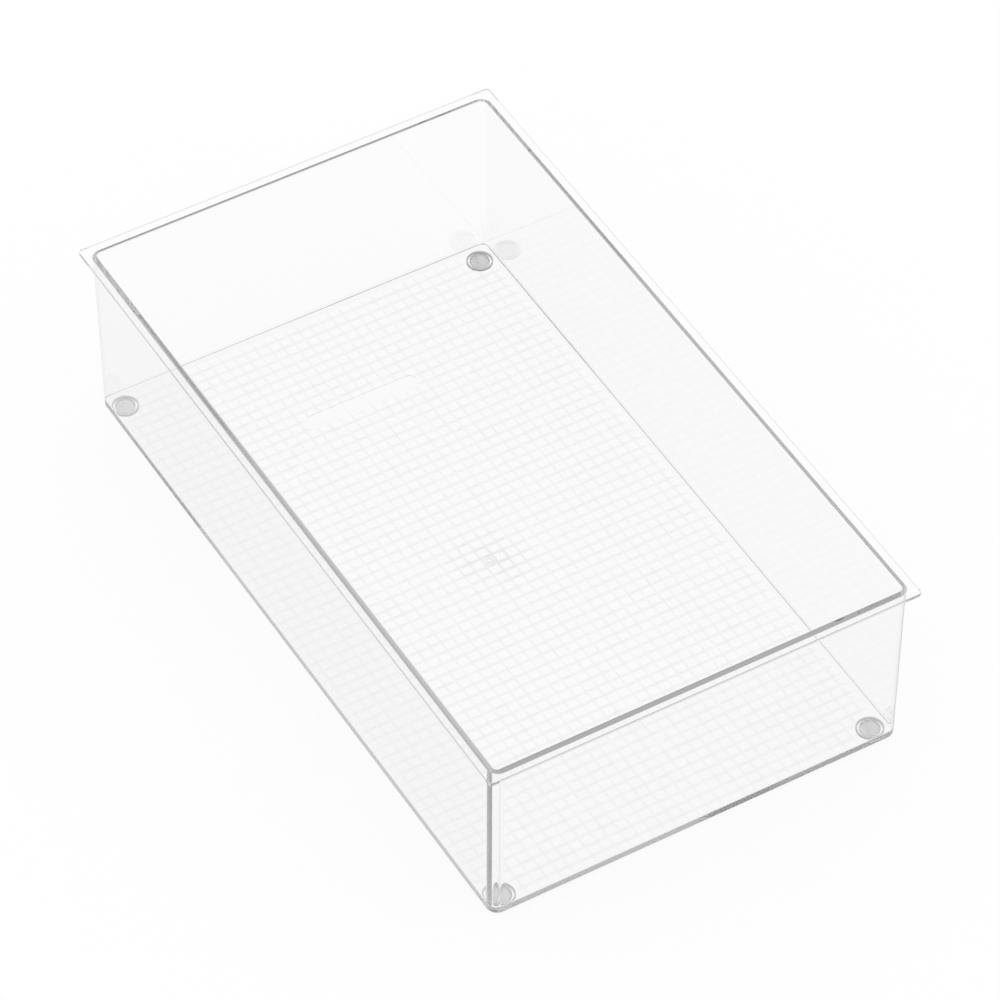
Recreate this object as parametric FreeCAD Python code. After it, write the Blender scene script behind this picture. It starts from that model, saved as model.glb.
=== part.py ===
import FreeCAD, Part
import os

# Clear drawer tray, moulded in one piece from crystal polystyrene, on four soft round feet.
# X runs across the tray, Y along it, Z up. The origin is the middle of the table area
# under the tray, level with the undersides of the feet. Millimetres.

# Rim: a flat lip turned outwards all round the top
lip_length = 305.6
lip_width = 177.8
lip_overhang = 3.0
lip_thickness = 1.4
lip_corner_radius = 1.6

# Body: four flat walls that lean in a little towards the floor, and the floor itself.
# The short walls lean more than the long ones.
body_height = 78.0
wall_thickness = 1.7
long_wall_lean = 0.4
short_wall_lean = 1.2
outer_corner_radius = 4.6
inner_corner_radius = 1.9
floor_thickness = 2.3
inner_floor_radius = 1.6
outer_floor_radius = 2.0

# Grid of fine grooves that keeps small things from sliding on the floor
grid_pitch = 4.8
groove_width = 1.1
groove_depth = 0.2
groove_end_land = 1.2

# Plain oblong land in the grid, this many cells from the middle towards one end
land_length = 47.0
land_width = 5.8
land_row = 20
land_step = 0.15

# Injection gate in the middle of the underside
gate_diameter = 6.2
gate_recess = 0.3
gate_stub_diameter = 1.6
gate_stub_height = 0.2

# Feet: soft round pads, each glued to the underside inside a low moulded ring
foot_inset_x = 7.7
foot_inset_y = 8.1
pad_diameter = 7.8
pad_thickness = 1.2
pad_edge_radius = 0.4
pad_to_ring = 0.8
ring_wall = 0.6
ring_height = 0.8

underside_z = pad_thickness
floor_z = underside_z + floor_thickness
top_z = underside_z + body_height
lip_underside_z = top_z - lip_thickness
ring_bore = pad_diameter + 2 * pad_to_ring
ring_diameter = ring_bore + 2 * ring_wall

wall_top_width = lip_width - 2 * lip_overhang
wall_top_length = lip_length - 2 * lip_overhang

# How far a tool that cuts through a face starts outside it
cut_margin = 1.0


def wall_size(z, inset):
    """Width and length across the walls at height z, taken inset inside their outer faces."""
    depth_share = (top_z - z) / body_height
    width = wall_top_width - 2 * (long_wall_lean * depth_share + inset)
    length = wall_top_length - 2 * (short_wall_lean * depth_share + inset)
    return width, length


def round_upright_edges(block, radius):
    """Round the edges that join a block's bottom face to its top."""
    height = block.BoundBox.ZLength
    edges = [edge for edge in block.Edges if edge.BoundBox.ZLength > height / 2]
    return block.makeFillet(radius, edges).Solids[0]


def round_bottom(block, radius):
    """Round the edges where a block's walls meet its bottom face."""
    lowest = min(vertex.Z for vertex in block.Vertexes)
    edges = [edge for edge in block.Edges if edge.BoundBox.ZMax < lowest + 0.01]
    return block.makeFillet(radius, edges).Solids[0]


def leaning_block(bottom_z, end_z, inset, corner_radius):
    """Solid with the walls' lean, between two heights, inset inside the outer faces."""
    width, length = wall_size(bottom_z, inset)
    end_width, end_length = wall_size(end_z, inset)
    block = Part.makeWedge(
        -width / 2, bottom_z, -length / 2, -end_length / 2, -end_width / 2,
        width / 2, end_z, length / 2, end_length / 2, end_width / 2,
    )
    block.rotate(FreeCAD.Vector(0, 0, 0), FreeCAD.Vector(1, 0, 0), 90)
    return round_upright_edges(block, corner_radius)


def rounded_plate(width, length, corner_radius, bottom_z, thickness):
    """Flat plate with four round corners, centred on the Z axis."""
    corner = FreeCAD.Vector(-width / 2, -length / 2, bottom_z)
    return round_upright_edges(Part.makeBox(width, length, thickness, corner), corner_radius)


def foot_centres():
    """The four places of the feet on the underside."""
    base_width, base_length = wall_size(underside_z, 0)
    x = base_width / 2 - foot_inset_x
    y = base_length / 2 - foot_inset_y
    return [FreeCAD.Vector(sx * x, sy * y, 0) for sy in (-1, 1) for sx in (-1, 1)]


def make_shell():
    """Walls, floor and lip, open at the top."""
    body = leaning_block(underside_z, top_z, 0, outer_corner_radius)
    body = round_bottom(body, outer_floor_radius)
    lip = rounded_plate(lip_width, lip_length, lip_corner_radius, lip_underside_z, lip_thickness)
    hollow = leaning_block(floor_z, top_z + cut_margin, wall_thickness, inner_corner_radius)
    return body.fuse(lip).cut(round_bottom(hollow, inner_floor_radius))


def make_foot_ring(centre):
    """Low ring that stands down from the underside round one foot."""
    base = centre + FreeCAD.Vector(0, 0, underside_z - ring_height)
    outside = Part.makeCylinder(ring_diameter / 2, ring_height, base)
    return outside.cut(Part.makeCylinder(ring_bore / 2, ring_height, base))


def groove_offsets(clear_span):
    """Middles of the grooves across a span, half a pitch either side of its centre and on."""
    count = int((clear_span / 2 - groove_width / 2) / grid_pitch + 0.5)
    return [side * (step + 0.5) * grid_pitch for side in (-1, 1) for step in range(count)]


def groove_along_x(length, y, face_z, depth_sign):
    """V-shaped cutter that runs across the tray; depth_sign tells which way is into the floor."""
    outside_z = face_z - depth_sign * cut_margin
    half = groove_width / 2
    points = [
        FreeCAD.Vector(-length / 2, y - half, outside_z),
        FreeCAD.Vector(-length / 2, y - half, face_z),
        FreeCAD.Vector(-length / 2, y, face_z + depth_sign * groove_depth),
        FreeCAD.Vector(-length / 2, y + half, face_z),
        FreeCAD.Vector(-length / 2, y + half, outside_z),
    ]
    profile = Part.Face(Part.makePolygon(points + points[:1]))
    return profile.extrude(FreeCAD.Vector(length, 0, 0))


def groove_along_y(length, x, face_z, depth_sign):
    """The same cutter turned to run along the tray."""
    cutter = groove_along_x(length, 0, face_z, depth_sign)
    cutter.rotate(FreeCAD.Vector(0, 0, 0), FreeCAD.Vector(0, 0, 1), 90)
    cutter.translate(FreeCAD.Vector(x, 0, 0))
    return cutter


def plain_land(bottom_z, height):
    """Oblong with round ends, where the grid leaves the floor plain."""
    middle = FreeCAD.Vector(0, land_row * grid_pitch, bottom_z)
    straight = land_length - land_width
    corner = middle - FreeCAD.Vector(straight / 2, land_width / 2, 0)
    land = Part.makeBox(straight, land_width, height, corner)
    for sx in (-1, 1):
        end = middle + FreeCAD.Vector(sx * straight / 2, 0, 0)
        land = land.fuse(Part.makeCylinder(land_width / 2, height, end))
    return land.removeSplitter()


def make_grid_cutters():
    """Grooves across the tray in the underside, and along it in the top of the floor."""
    under_width, under_length = wall_size(underside_z, outer_floor_radius + groove_end_land)
    top_width, top_length = wall_size(floor_z, wall_thickness + inner_floor_radius)
    keep_out_z = underside_z - cut_margin
    keep_out_height = floor_thickness + 2 * cut_margin
    keep_out = [plain_land(keep_out_z, keep_out_height)]
    gate_base = FreeCAD.Vector(0, 0, keep_out_z)
    keep_out.append(Part.makeCylinder(gate_diameter / 2, keep_out_height, gate_base))
    across = [groove_along_x(under_width, y, underside_z, 1) for y in groove_offsets(under_length)]
    along = [groove_along_y(top_length, x, floor_z, -1) for x in groove_offsets(top_width)]
    feet = [
        Part.makeCylinder(ring_diameter / 2, keep_out_height, centre + gate_base)
        for centre in foot_centres()
    ]
    return Part.makeCompound(across).cut(keep_out + feet), Part.makeCompound(along).cut(keep_out)


def make_gate():
    """Round recess in the underside and the low stub that the gate leaves in it."""
    base = FreeCAD.Vector(0, 0, underside_z)
    recess = Part.makeCylinder(gate_diameter / 2, gate_recess, base)
    stub_base = FreeCAD.Vector(0, 0, underside_z + gate_recess - gate_stub_height)
    stub = Part.makeCylinder(gate_stub_diameter / 2, gate_stub_height, stub_base)
    return recess.cut(stub)


def make_tray():
    """The whole moulding."""
    tray = make_shell()
    for centre in foot_centres():
        tray = tray.fuse(make_foot_ring(centre))
    cutters = list(make_grid_cutters())
    cutters.append(make_gate())
    cutters.append(plain_land(floor_z - land_step, land_step + cut_margin))
    return tray.cut(cutters).removeSplitter()


def make_foot_pad(centre):
    """Soft round pad with eased edges below, its flat top glued to the underside."""
    pad = Part.makeCylinder(pad_diameter / 2, pad_thickness, centre)
    return round_bottom(pad, pad_edge_radius)


def export(shape, name):
    solids = shape.Solids
    assert len(solids) == 1 and shape.isValid(), name
    solids[0].exportStep(os.path.join("parts", name + ".step"))
    print(name, "volume %.1f mm3, %d faces" % (shape.Volume, len(shape.Faces)))


os.makedirs("parts", exist_ok=True)
export(make_tray(), "tray")
for number, centre in enumerate(foot_centres(), 1):
    export(make_foot_pad(centre), "foot_pad_%d" % number)
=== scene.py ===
from math import cos, pi, radians, sin

import bmesh
import bpy
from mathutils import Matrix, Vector


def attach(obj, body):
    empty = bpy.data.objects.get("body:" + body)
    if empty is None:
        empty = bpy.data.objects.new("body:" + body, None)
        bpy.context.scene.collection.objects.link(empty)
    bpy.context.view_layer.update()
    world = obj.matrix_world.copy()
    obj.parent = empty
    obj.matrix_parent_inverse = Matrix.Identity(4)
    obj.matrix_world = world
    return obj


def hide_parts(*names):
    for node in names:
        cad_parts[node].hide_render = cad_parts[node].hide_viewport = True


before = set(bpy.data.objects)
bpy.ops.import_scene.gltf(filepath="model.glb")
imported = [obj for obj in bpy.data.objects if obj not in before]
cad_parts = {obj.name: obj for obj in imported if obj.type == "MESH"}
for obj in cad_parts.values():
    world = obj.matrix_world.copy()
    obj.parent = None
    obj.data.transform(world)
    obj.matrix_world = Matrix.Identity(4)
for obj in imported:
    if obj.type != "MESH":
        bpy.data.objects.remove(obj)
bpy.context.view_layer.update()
scene = bpy.context.scene

# Tray: one moulding in clear polystyrene, with four walls that lean in a little towards the floor,
# a flat lip turned outwards round the top, four low rings round the feet and a grid of fine grooves
# in the underside. The polished mould leaves it glass-clear. Millimetres, turned to metres at the end.
LIP_LENGTH = 305.6
LIP_WIDTH = 177.8
LIP_OVERHANG = 3.0
LIP_THICKNESS = 1.4
LIP_CORNER_RADIUS = 1.6
LIP_EDGE_RADIUS = 0.3
UNDER_LIP_RADIUS = 0.3
RIM_INNER_RADIUS = 0.12

BODY_HEIGHT = 78.0
WALL = 1.7
LONG_WALL_LEAN = 0.4
SHORT_WALL_LEAN = 1.2
OUTER_CORNER_RADIUS = 4.6
INNER_CORNER_RADIUS = 1.9
FLOOR = 2.3
INNER_FLOOR_RADIUS = 0.8
OUTER_FLOOR_RADIUS = 1.0
UNDERSIDE_Z = 1.2
FLOOR_Z = UNDERSIDE_Z + FLOOR
TOP_Z = UNDERSIDE_Z + BODY_HEIGHT
LIP_UNDER_Z = TOP_Z - LIP_THICKNESS

GRID_PITCH = 4.8
GROOVE_WIDTH = 2.2
GROOVE_DEPTH = 0.2
LONG_GROOVE_DEPTH = 0.12
GROOVE_END_LAND = 1.2
FLOOR_BORDER = 0.4
LAND_LENGTH = 47.0
LAND_WIDTH = 5.8
LAND_Y = 96.0
LAND_STEP = 0.15
GATE_DIAMETER = 6.2
GATE_RECESS = 0.12
GATE_STUB_DIAMETER = 1.6
GATE_STUB_HEIGHT = 0.08
FOOT_X = 77.8
FOOT_Y = 140.5
RING_DIAMETER = 10.6
RING_BORE = 9.4
RING_HEIGHT = 0.8
RING_ROOT = 0.5
GLUE_DIAMETER = 8.6
GLUE_FILM = 0.05

CORNER_STEPS = 8
ROUND_STEPS = 40
HAIR = 0.002


def wall_half_size(z, inset):
    """Half the width and length across the walls at height z, taken inset inside the outer faces."""
    share = (TOP_Z - z) / BODY_HEIGHT
    half_width = LIP_WIDTH / 2 - LIP_OVERHANG - LONG_WALL_LEAN * share - inset
    half_length = LIP_LENGTH / 2 - LIP_OVERHANG - SHORT_WALL_LEAN * share - inset
    return half_width, half_length


def rounded_face(bm, half_size, radius, z):
    """Flat face with four round corners."""
    before = set(bm.faces)
    verts = bmesh.ops.create_grid(bm, x_segments=1, y_segments=1, size=1.0)["verts"]
    bmesh.ops.scale(bm, vec=(half_size[0], half_size[1], 1), verts=verts)
    bmesh.ops.translate(bm, vec=(0, 0, z), verts=verts)
    bmesh.ops.bevel(bm, geom=verts, affect="VERTICES", offset=radius, offset_type="OFFSET",
                    segments=CORNER_STEPS, profile=0.5, material=-1)
    return next(face for face in bm.faces if face not in before)


def open_face(bm, face):
    """Take a face away and keep its outline."""
    edges = list(face.edges)
    bmesh.ops.delete(bm, geom=[face], context="FACES_ONLY")
    return edges


def rounded_ring(bm, half_size, radius, z):
    return open_face(bm, rounded_face(bm, half_size, radius, z))


def circle(bm, centre, diameter, z):
    made = bmesh.ops.create_circle(bm, segments=ROUND_STEPS, radius=diameter / 2)
    bmesh.ops.translate(bm, vec=(centre[0], centre[1], z), verts=made["verts"])
    return list({edge for vert in made["verts"] for edge in vert.link_edges})


def turned(bm, centre, sections, open_bore=False):
    """Solid turned round an upright axis, from circle to circle and closed at both ends or round a bore."""
    circles = [circle(bm, centre, diameter, z) for diameter, z in sections]
    for first, second in zip(circles, circles[1:]):
        bmesh.ops.bridge_loops(bm, edges=first + second)
    if open_bore:
        bmesh.ops.bridge_loops(bm, edges=circles[-1] + circles[0])
    else:
        bmesh.ops.contextual_create(bm, geom=circles[0])
        bmesh.ops.contextual_create(bm, geom=circles[-1])


def quarter(steps, first=0):
    """Angles of a quarter turn."""
    return [pi / 2 * step / steps for step in range(first, steps + 1)]


def tray_rings(bm):
    """The moulding's outlines in order: up the outside, over the lip and down the inside."""
    rings = []
    radius = OUTER_FLOOR_RADIUS
    for angle in quarter(6, first=1):
        z = UNDERSIDE_Z + radius * (1 - cos(angle))
        inset = radius * (1 - sin(angle))
        rings.append(rounded_ring(bm, wall_half_size(z, inset), OUTER_CORNER_RADIUS - inset, z))
    radius = UNDER_LIP_RADIUS
    for angle in quarter(3):
        z = LIP_UNDER_Z - radius + radius * sin(angle)
        outset = radius * (1 - cos(angle))
        rings.append(rounded_ring(bm, wall_half_size(z, -outset), OUTER_CORNER_RADIUS, z))
    radius = LIP_EDGE_RADIUS
    for angle in quarter(3):
        inset = radius * (1 - sin(angle))
        size = LIP_WIDTH / 2 - inset, LIP_LENGTH / 2 - inset
        z = LIP_UNDER_Z + radius * (1 - cos(angle))
        rings.append(rounded_ring(bm, size, LIP_CORNER_RADIUS, z))
    for angle in quarter(3):
        inset = radius * (1 - cos(angle))
        size = LIP_WIDTH / 2 - inset, LIP_LENGTH / 2 - inset
        z = TOP_Z - radius * (1 - sin(angle))
        rings.append(rounded_ring(bm, size, LIP_CORNER_RADIUS, z))
    radius = RIM_INNER_RADIUS
    for angle in quarter(3):
        z = TOP_Z - HAIR - radius * (1 - cos(angle))
        inset = WALL - radius * (1 - sin(angle))
        rings.append(rounded_ring(bm, wall_half_size(z, inset), INNER_CORNER_RADIUS, z))
    radius = INNER_FLOOR_RADIUS
    for angle in quarter(6):
        z = FLOOR_Z + radius * (1 - sin(angle))
        inset = radius * (1 - cos(angle))
        rings.append(rounded_ring(bm, wall_half_size(z, WALL + inset), INNER_CORNER_RADIUS - inset, z))
    return rings


def groove_middles(half_span):
    """Middles of the grooves, half a pitch either side of the centre and on."""
    count = int((half_span - GROOVE_WIDTH / 2) / GRID_PITCH + 0.5)
    return sorted(side * (step + 0.5) * GRID_PITCH for side in (-1, 1) for step in range(count))


def cut_grooves(bm, flat_face):
    """Cut the grid into a flat face: every groove is V-shaped and stops at the gate, land and feet."""
    region = {flat_face}
    half_size = wall_half_size(UNDERSIDE_Z, OUTER_FLOOR_RADIUS + GROOVE_END_LAND)
    middles = [groove_middles(half_span) for half_span in half_size]
    for axis in (0, 1):
        normal = Vector((1 - axis, axis, 0))
        ahead, region = region, set()
        for middle in middles[axis]:
            for place in (middle - GROOVE_WIDTH / 2, middle, middle + GROOVE_WIDTH / 2):
                geom = set(ahead)
                for face in ahead:
                    geom.update(face.edges, face.verts)
                point = normal * place
                point.z = UNDERSIDE_Z
                cut = bmesh.ops.bisect_plane(bm, geom=list(geom), dist=1e-5, plane_co=point, plane_no=normal)
                ahead.update(item for item in cut["geom"] if isinstance(item, bmesh.types.BMFace))
                passed = {face for face in ahead if max(v.co[axis] for v in face.verts) < place + 1e-4}
                region |= passed
                ahead -= passed
        region |= ahead
    across, along = [], []
    close = 0.001
    for vert in {vert for face in region for vert in face.verts}:
        x, y = abs(vert.co.x), abs(vert.co.y)
        on_middle = [abs(span / GRID_PITCH % 1 - 0.5) < close and span < last[-1] + close
                     for span, last in zip((x, y), middles)]
        on_end = x > half_size[0] - close or y > half_size[1] - close
        on_gate = vert.co.xy.length < GATE_DIAMETER / 2
        on_land = x < LAND_LENGTH / 2 and abs(vert.co.y - LAND_Y) < LAND_WIDTH / 2
        on_foot = Vector((x - FOOT_X, y - FOOT_Y)).length < RING_DIAMETER / 2
        if not (on_end or on_gate or on_land or on_foot):
            if on_middle[1]:
                across.append(vert)
            elif on_middle[0]:
                along.append(vert)
    bmesh.ops.translate(bm, vec=(0, 0, GROOVE_DEPTH), verts=across)
    bmesh.ops.translate(bm, vec=(0, 0, LONG_GROOVE_DEPTH), verts=along)


def tray_mesh():
    bm = bmesh.new()
    underside = rounded_face(bm, wall_half_size(UNDERSIDE_Z, OUTER_FLOOR_RADIUS),
                             OUTER_CORNER_RADIUS - OUTER_FLOOR_RADIUS, UNDERSIDE_Z)
    rings = [list(underside.edges)] + tray_rings(bm)
    for ring, next_ring in zip(rings, rings[1:]):
        bmesh.ops.bridge_loops(bm, edges=ring + next_ring)

    bmesh.ops.inset_individual(bm, faces=[underside], thickness=GROOVE_END_LAND, use_even_offset=True)
    cut_grooves(bm, underside)

    # Top of the floor: an oblong with round ends, sunk a little
    before = set(bm.faces)
    bmesh.ops.contextual_create(bm, geom=rings[-1])
    floor_top = next(face for face in bm.faces if face not in before)
    bmesh.ops.inset_individual(bm, faces=[floor_top], thickness=FLOOR_BORDER, use_even_offset=True)
    land_size = LAND_LENGTH / 2, LAND_WIDTH / 2
    land = [rounded_ring(bm, land_size, LAND_WIDTH / 2 - HAIR, z) for z in (FLOOR_Z, FLOOR_Z - LAND_STEP)]
    bmesh.ops.bridge_loops(bm, edges=land[0] + land[1])
    bmesh.ops.contextual_create(bm, geom=land[1])
    land_verts = {vert for ring in land for edge in ring for vert in edge.verts}
    bmesh.ops.translate(bm, vec=(0, LAND_Y, 0), verts=list(land_verts))
    bmesh.ops.triangle_fill(bm, edges=open_face(bm, floor_top) + land[0])
    return finished_mesh(bm, "clear_tray")


def foot_places():
    return [(side_x * FOOT_X, side_y * FOOT_Y) for side_y in (-1, 1) for side_x in (-1, 1)]


def rings_mesh():
    """The low rings that stand down round the feet."""
    bm = bmesh.new()
    low, high = UNDERSIDE_Z - RING_HEIGHT, UNDERSIDE_Z + RING_ROOT
    for centre in foot_places():
        turned(bm, centre, [
            (RING_DIAMETER, high), (RING_DIAMETER, low), (RING_BORE, low + HAIR), (RING_BORE, high - HAIR),
        ], open_bore=True)
    return finished_mesh(bm, "rings")


def recesses_mesh():
    """What the underside lacks: the gate's recess round its stub, and the thickness of the pads' glue."""
    bm = bmesh.new()
    recess_z = UNDERSIDE_Z + GATE_RECESS
    turned(bm, (0, 0), [
        (GATE_DIAMETER, 0), (GATE_DIAMETER, recess_z),
        (GATE_STUB_DIAMETER, recess_z + HAIR), (GATE_STUB_DIAMETER, recess_z - GATE_STUB_HEIGHT),
    ])
    for centre in foot_places():
        turned(bm, centre, [(GLUE_DIAMETER, 0), (GLUE_DIAMETER, UNDERSIDE_Z + GLUE_FILM)])
    return finished_mesh(bm, "recesses")


def finished_mesh(bm, name):
    bmesh.ops.recalc_face_normals(bm, faces=bm.faces)
    bmesh.ops.scale(bm, vec=(0.001, 0.001, 0.001), verts=bm.verts)
    bmesh.ops.triangulate(bm, faces=[face for face in bm.faces if len(face.verts) > 4])
    mesh = bpy.data.meshes.new(name)
    bm.to_mesh(mesh)
    bm.free()
    return mesh


def combine(piece, tool_mesh, operation):
    """Join a solid to the piece or cut it out."""
    tool = bpy.data.objects.new(tool_mesh.name, tool_mesh)
    scene.collection.objects.link(tool)
    modifier = piece.modifiers.new(tool.name, "BOOLEAN")
    modifier.operation = operation
    modifier.object = tool
    bpy.context.view_layer.update()
    made = bpy.data.meshes.new_from_object(piece.evaluated_get(bpy.context.evaluated_depsgraph_get()))
    piece.modifiers.remove(modifier)
    piece.data = made
    bpy.data.objects.remove(tool)


def new_material(name):
    material = bpy.data.materials.new(name)
    material.use_nodes = True
    return material, material.node_tree


def add_node(tree, kind, sockets=(), **settings):
    """Shader node with its settings; a socket is given a value or linked to another node's output."""
    node = tree.nodes.new("ShaderNode" + kind)
    for name, value in settings.items():
        setattr(node, name, value)
    for key, value in dict(sockets).items():
        if isinstance(value, bpy.types.NodeSocket):
            tree.links.new(value, node.inputs[key])
        else:
            node.inputs[key].default_value = value
    return node


def math(tree, operation, first, second=0.0):
    return add_node(tree, "Math", {0: first, 1: second}, operation=operation).outputs[0]


tray = bpy.data.objects.new("clear_tray", tray_mesh())
scene.collection.objects.link(tray)
combine(tray, rings_mesh(), "UNION")
combine(tray, recesses_mesh(), "DIFFERENCE")
tray.data.name = "clear_tray"
tray.data.shade_smooth()
tray.data.set_sharp_from_angle(angle=radians(35))
flat_faces = tray.modifiers.new("flat_faces", "WEIGHTED_NORMAL")
flat_faces.keep_sharp = True

# Painted shade: grey in the clear plastic's base colour, fitted to the photograph, where the real edges look
# grey by
# refraction: the grooves and the gate's recess by their depth, stronger near the gate, and the foot rings all
# over.
GROOVE_PAINTED_SHADE = 0.13
GATE_PAINTED_SHADE = 0.24
GATE_SHADE_START, GATE_SHADE_END = 0.003, 0.02
FULL_SHADE_DEPTH = 0.75 * GROOVE_DEPTH
SHADE_LIMIT_DEPTH = 1.2 * GROOVE_DEPTH
SHADE_PATCH_SCALE = 220.0
RING_PAINTED_SHADE = 0.75
POLYSTYRENE_IOR = 1.59
POLYSTYRENE_ABSORPTION = 0.6

clear, tree = new_material("clear_polystyrene")
shader = tree.nodes["Principled BSDF"]
shader.inputs["Roughness"].default_value = 0.0
shader.inputs["IOR"].default_value = POLYSTYRENE_IOR
shader.inputs["Transmission Weight"].default_value = 1.0
place = add_node(tree, "TexCoord").outputs["Object"]
height = add_node(tree, "SeparateXYZ", {0: place}).outputs["Z"]
# Painted shade in the grooves and the gate's recess: darker with depth, more near the gate, uneven in random
# patches.
groove = add_node(tree, "MapRange", {
    "Value": height, "From Min": UNDERSIDE_Z / 1000, "From Max": (UNDERSIDE_Z + FULL_SHADE_DEPTH) / 1000,
}, interpolation_type="SMOOTHSTEP").outputs[0]
in_underside = math(tree, "LESS_THAN", height, (UNDERSIDE_Z + SHADE_LIMIT_DEPTH) / 1000)
groove = math(tree, "MULTIPLY", groove, in_underside)
from_gate = add_node(tree, "VectorMath", {0: place}, operation="LENGTH").outputs["Value"]
shade_by_gate = add_node(tree, "MapRange", {
    "Value": from_gate, "From Min": GATE_SHADE_START, "From Max": GATE_SHADE_END,
    "To Min": GATE_PAINTED_SHADE, "To Max": GROOVE_PAINTED_SHADE,
}, interpolation_type="SMOOTHSTEP").outputs[0]
shade_patches = add_node(tree, "TexNoise", {"Vector": place, "Scale": SHADE_PATCH_SCALE, "Detail": 4.0}).outputs["Fac"]
shade_patches = math(tree, "MULTIPLY", shade_patches, 2.0)
painted_shade = math(tree, "MULTIPLY", math(tree, "MULTIPLY", groove, shade_by_gate), shade_patches)
# Painted shade on the foot rings, all over their faces below the underside.
on_ring = math(tree, "LESS_THAN", height, (UNDERSIDE_Z - 0.1) / 1000)
painted_shade = math(tree, "MAXIMUM", painted_shade, math(tree, "MULTIPLY", on_ring, RING_PAINTED_SHADE))
# Base colour is white less the painted shade.
tone = math(tree, "SUBTRACT", 1.0, painted_shade)
colour = add_node(tree, "CombineColor", {0: tone, 1: tone, 2: tone}).outputs[0]
tree.links.new(colour, shader.inputs["Base Color"])
depth = add_node(tree, "VolumeAbsorption", {
    "Color": (0, 0, 0, 1), "Density": POLYSTYRENE_ABSORPTION,
})
tree.links.new(depth.outputs[0], tree.nodes["Material Output"].inputs["Volume"])
tray.data.materials.append(clear)
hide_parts("tray")
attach(tray, "root")

# Feet: four soft round pads of translucent grey silicone, cut with eased lower edges and glued
# under the floor corners inside the moulded rings.
PAD_DARK, PAD_LIGHT = 0.84, 0.94
PAD_MOTTLE_SCALE = 700.0
silicone, tree = new_material("pad_silicone")
shader = tree.nodes["Principled BSDF"]
place = add_node(tree, "TexCoord").outputs["Object"]
mottle = add_node(tree, "TexNoise", {"Vector": place, "Scale": PAD_MOTTLE_SCALE, "Detail": 4.0}).outputs["Fac"]
tone = add_node(tree, "MapRange", {"Value": mottle, "To Min": PAD_DARK, "To Max": PAD_LIGHT}).outputs[0]
colour = add_node(tree, "CombineColor", {0: tone, 1: tone, 2: tone}).outputs[0]
tree.links.new(colour, shader.inputs["Base Color"])
shader.inputs["Roughness"].default_value = 0.6
shader.inputs["Transmission Weight"].default_value = 0.6
for number in range(1, 5):
    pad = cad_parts["foot_pad_%d" % number]
    pad.data.materials.clear()
    pad.data.materials.append(silicone)

# Table: the white surface that the tray stands on. It glows white to the eye and through the
# tray, and the small diffuse rest of it keeps a faint shadow of the tray.
TABLE_REACH = 4.0
SEEN_WHITE = 0.9
SEEN_WHITE_THROUGH_TRAY = 0.95
# Fitted to the photograph's edge tones, and not how light behaves: white loses a share at every
# mirroring, and is an even grey after a long way. MIRROR_KEEPS and EVEN_GREY of 1 turn this off.
MIRROR_KEEPS = 0.955
FIRST_LOSSES = 2.0
MOST_LOSSES = 24.0
EVEN_GREY = 0.6


def mirrored_strength(tree, path):
    """White as it is, less for every time it was mirrored on the way, and even grey after a long way."""
    depth = path["Glossy Depth"]
    losses = math(tree, "ADD", depth, math(tree, "MULTIPLY", math(tree, "MINIMUM", depth, 1.0), FIRST_LOSSES))
    kept = math(tree, "POWER", MIRROR_KEEPS, losses)
    long_way = math(tree, "GREATER_THAN", depth, MOST_LOSSES)
    return add_node(tree, "Mix", {0: long_way, 2: kept, 3: EVEN_GREY}).outputs[0]


bm = bmesh.new()
bmesh.ops.create_grid(bm, x_segments=1, y_segments=1, size=TABLE_REACH)
mesh = bpy.data.meshes.new("table")
bm.to_mesh(mesh)
bm.free()
table = bpy.data.objects.new("table", mesh)
scene.collection.objects.link(table)
white, tree = new_material("white_table")
path = add_node(tree, "LightPath").outputs
seen = math(tree, "MULTIPLY", path["Is Camera Ray"], SEEN_WHITE)
seen_through = math(tree, "MULTIPLY", path["Is Transmission Ray"], SEEN_WHITE_THROUGH_TRAY)
mirrored = math(tree, "GREATER_THAN", path["Is Glossy Ray"], path["Is Transmission Ray"])
share = math(tree, "MAXIMUM", math(tree, "MAXIMUM", seen, seen_through), mirrored)
strength = mirrored_strength(tree, path)
paper = add_node(tree, "BsdfDiffuse", {"Color": (1, 1, 1, 1)}).outputs[0]
glow = add_node(tree, "Emission", {"Strength": strength}).outputs[0]
surface = add_node(tree, "MixShader", {0: share, 1: paper, 2: glow}).outputs[0]
tree.nodes.remove(tree.nodes["Principled BSDF"])
tree.links.new(surface, tree.nodes["Material Output"].inputs["Surface"])
table.data.materials.append(white)

# Light: an even white studio all round, at a plain strength of 1. The tray's walls carry light a
# long way by mirroring, so many bounces are allowed.
MOST_BOUNCES = 200
world = bpy.data.worlds.new("studio")
world.use_nodes = True
tree = world.node_tree
strength = mirrored_strength(tree, add_node(tree, "LightPath").outputs)
tree.nodes["Background"].inputs["Color"].default_value = (1, 1, 1, 1)
tree.links.new(strength, tree.nodes["Background"].inputs["Strength"])
scene.world = world
scene.view_settings.view_transform = "Standard"
scene.cycles.max_bounces = MOST_BOUNCES
scene.cycles.transmission_bounces = MOST_BOUNCES
scene.cycles.glossy_bounces = MOST_BOUNCES

# Camera: long lens, level, above and to the left of one short end, moved by a part of a pixel
# so that the tray's corners fall where they are in the photograph.
FOCAL_PIXELS = 6101.874
azimuth, elevation = radians(-30.375), radians(46.532)
distance = 2.27877
pixel = distance / FOCAL_PIXELS
back = Vector((sin(azimuth) * cos(elevation), -cos(azimuth) * cos(elevation), sin(elevation)))
right = Vector((cos(azimuth), sin(azimuth), 0))
target = Vector((0.012049, 0.012219, 0.017368)) - right * pixel * 0.5 + back.cross(right) * pixel * 0.8
lens = bpy.data.cameras.new("camera")
lens.lens = 219.667
lens.sensor_width = 36
lens.clip_end = 50
camera = bpy.data.objects.new("camera", lens)
scene.collection.objects.link(camera)
camera.location = target + back * distance
camera.rotation_euler = back.to_track_quat("Z", "Y").to_euler()
scene.camera = camera
